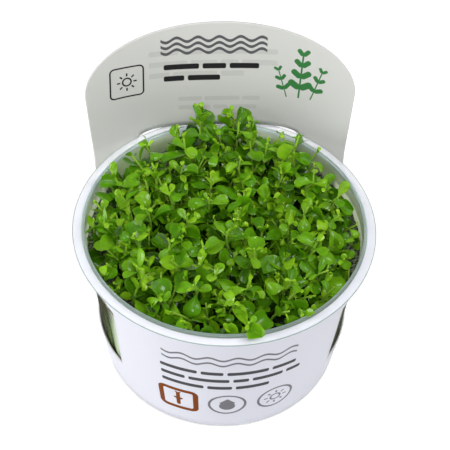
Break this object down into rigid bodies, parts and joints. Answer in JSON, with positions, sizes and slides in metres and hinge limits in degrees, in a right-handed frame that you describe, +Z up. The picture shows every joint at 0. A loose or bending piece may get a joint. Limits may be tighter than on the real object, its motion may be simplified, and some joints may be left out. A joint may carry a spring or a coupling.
{
  "type": "carpet plant in growing cup",
  "caption": "Low aquarium carpet plant with small round leaves in opposite pairs, growing in a clear tapered cup with a white sleeve that rises behind it as an arched board.",
  "frame": {"origin": "centre of the cup's flat foot, on the surface that it stands on", "axes": "+Z up along the cup's axis, +Y towards the tall board behind the plant, +X to the right as seen from the front panel"},
  "size_m": [0.1, 0.1047, 0.0989],
  "materials": {
    "clear_plastic": "gloss",
    "printed_sheet": "satin",
    "growing_medium": "satin",
    "leaf": "satin"
  },
  "bodies": {
    "root": {"cup": "clear_plastic", "sleeve": "printed_sheet", "growing_medium": "growing_medium", "carpet": "leaf", "sprig_01": "leaf", "sprig_02": "leaf", "sprig_03": "leaf", "sprig_04": "leaf", "sprig_05": "leaf", "sprig_06": "leaf", "sprig_07": "leaf", "sprig_08": "leaf", "sprig_09": "leaf", "sprig_10": "leaf", "sprig_11": "leaf", "sprig_12": "leaf", "sprig_13": "leaf", "sprig_14": "leaf", "sprig_15": "leaf", "sprig_16": "leaf", "sprig_17": "leaf", "sprig_18": "leaf", "sprig_19": "leaf", "sprig_20": "leaf", "sprig_21": "leaf", "sprig_22": "leaf", "sprig_23": "leaf", "sprig_24": "leaf", "sprig_25": "leaf", "sprig_26": "leaf", "sprig_27": "leaf", "sprig_28": "leaf", "sprig_29": "leaf", "sprig_30": "leaf", "sprig_31": "leaf", "sprig_32": "leaf", "sprig_33": "leaf", "sprig_34": "leaf", "sprig_35": "leaf", "sprig_36": "leaf", "sprig_37": "leaf", "sprig_38": "leaf", "sprig_39": "leaf", "sprig_40": "leaf", "sprig_41": "leaf", "sprig_42": "leaf", "sprig_43": "leaf", "sprig_44": "leaf"}
  },
  "joints": []
}
